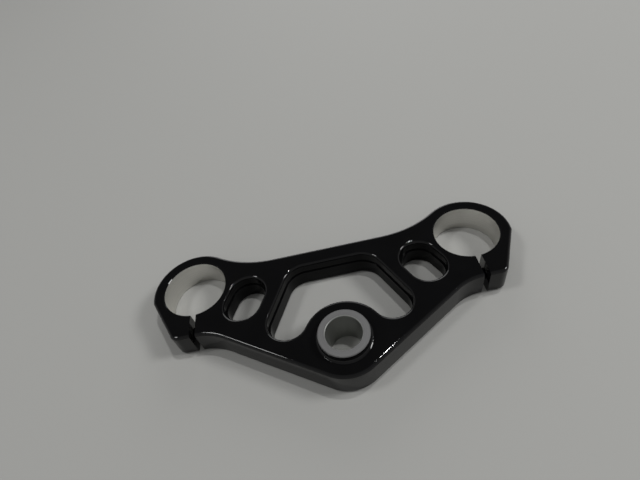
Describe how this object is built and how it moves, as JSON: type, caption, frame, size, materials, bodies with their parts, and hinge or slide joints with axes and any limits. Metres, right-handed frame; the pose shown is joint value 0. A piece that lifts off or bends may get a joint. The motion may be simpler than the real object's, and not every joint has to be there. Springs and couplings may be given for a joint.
{
  "type": "motorcycle top triple clamp",
  "caption": "Black billet top triple clamp with split fork bores, a raised steering stem collar, a large window and oblong lightening slots.",
  "frame": {"origin": "centre of the steering stem bore, in the plane of the plate's top face", "axes": "+Z along the stem bore, up through the collar; +Y towards the fork bores and the back edge; +X towards the right fork bore; the YZ plane is the plane of symmetry"},
  "size_m": [0.2836, 0.1309, 0.0286],
  "materials": {
    "anodised": "satin black anodised, bores and collar face bare"
  },
  "bodies": {
    "root": {"triple_clamp": "anodised"}
  },
  "joints": []
}
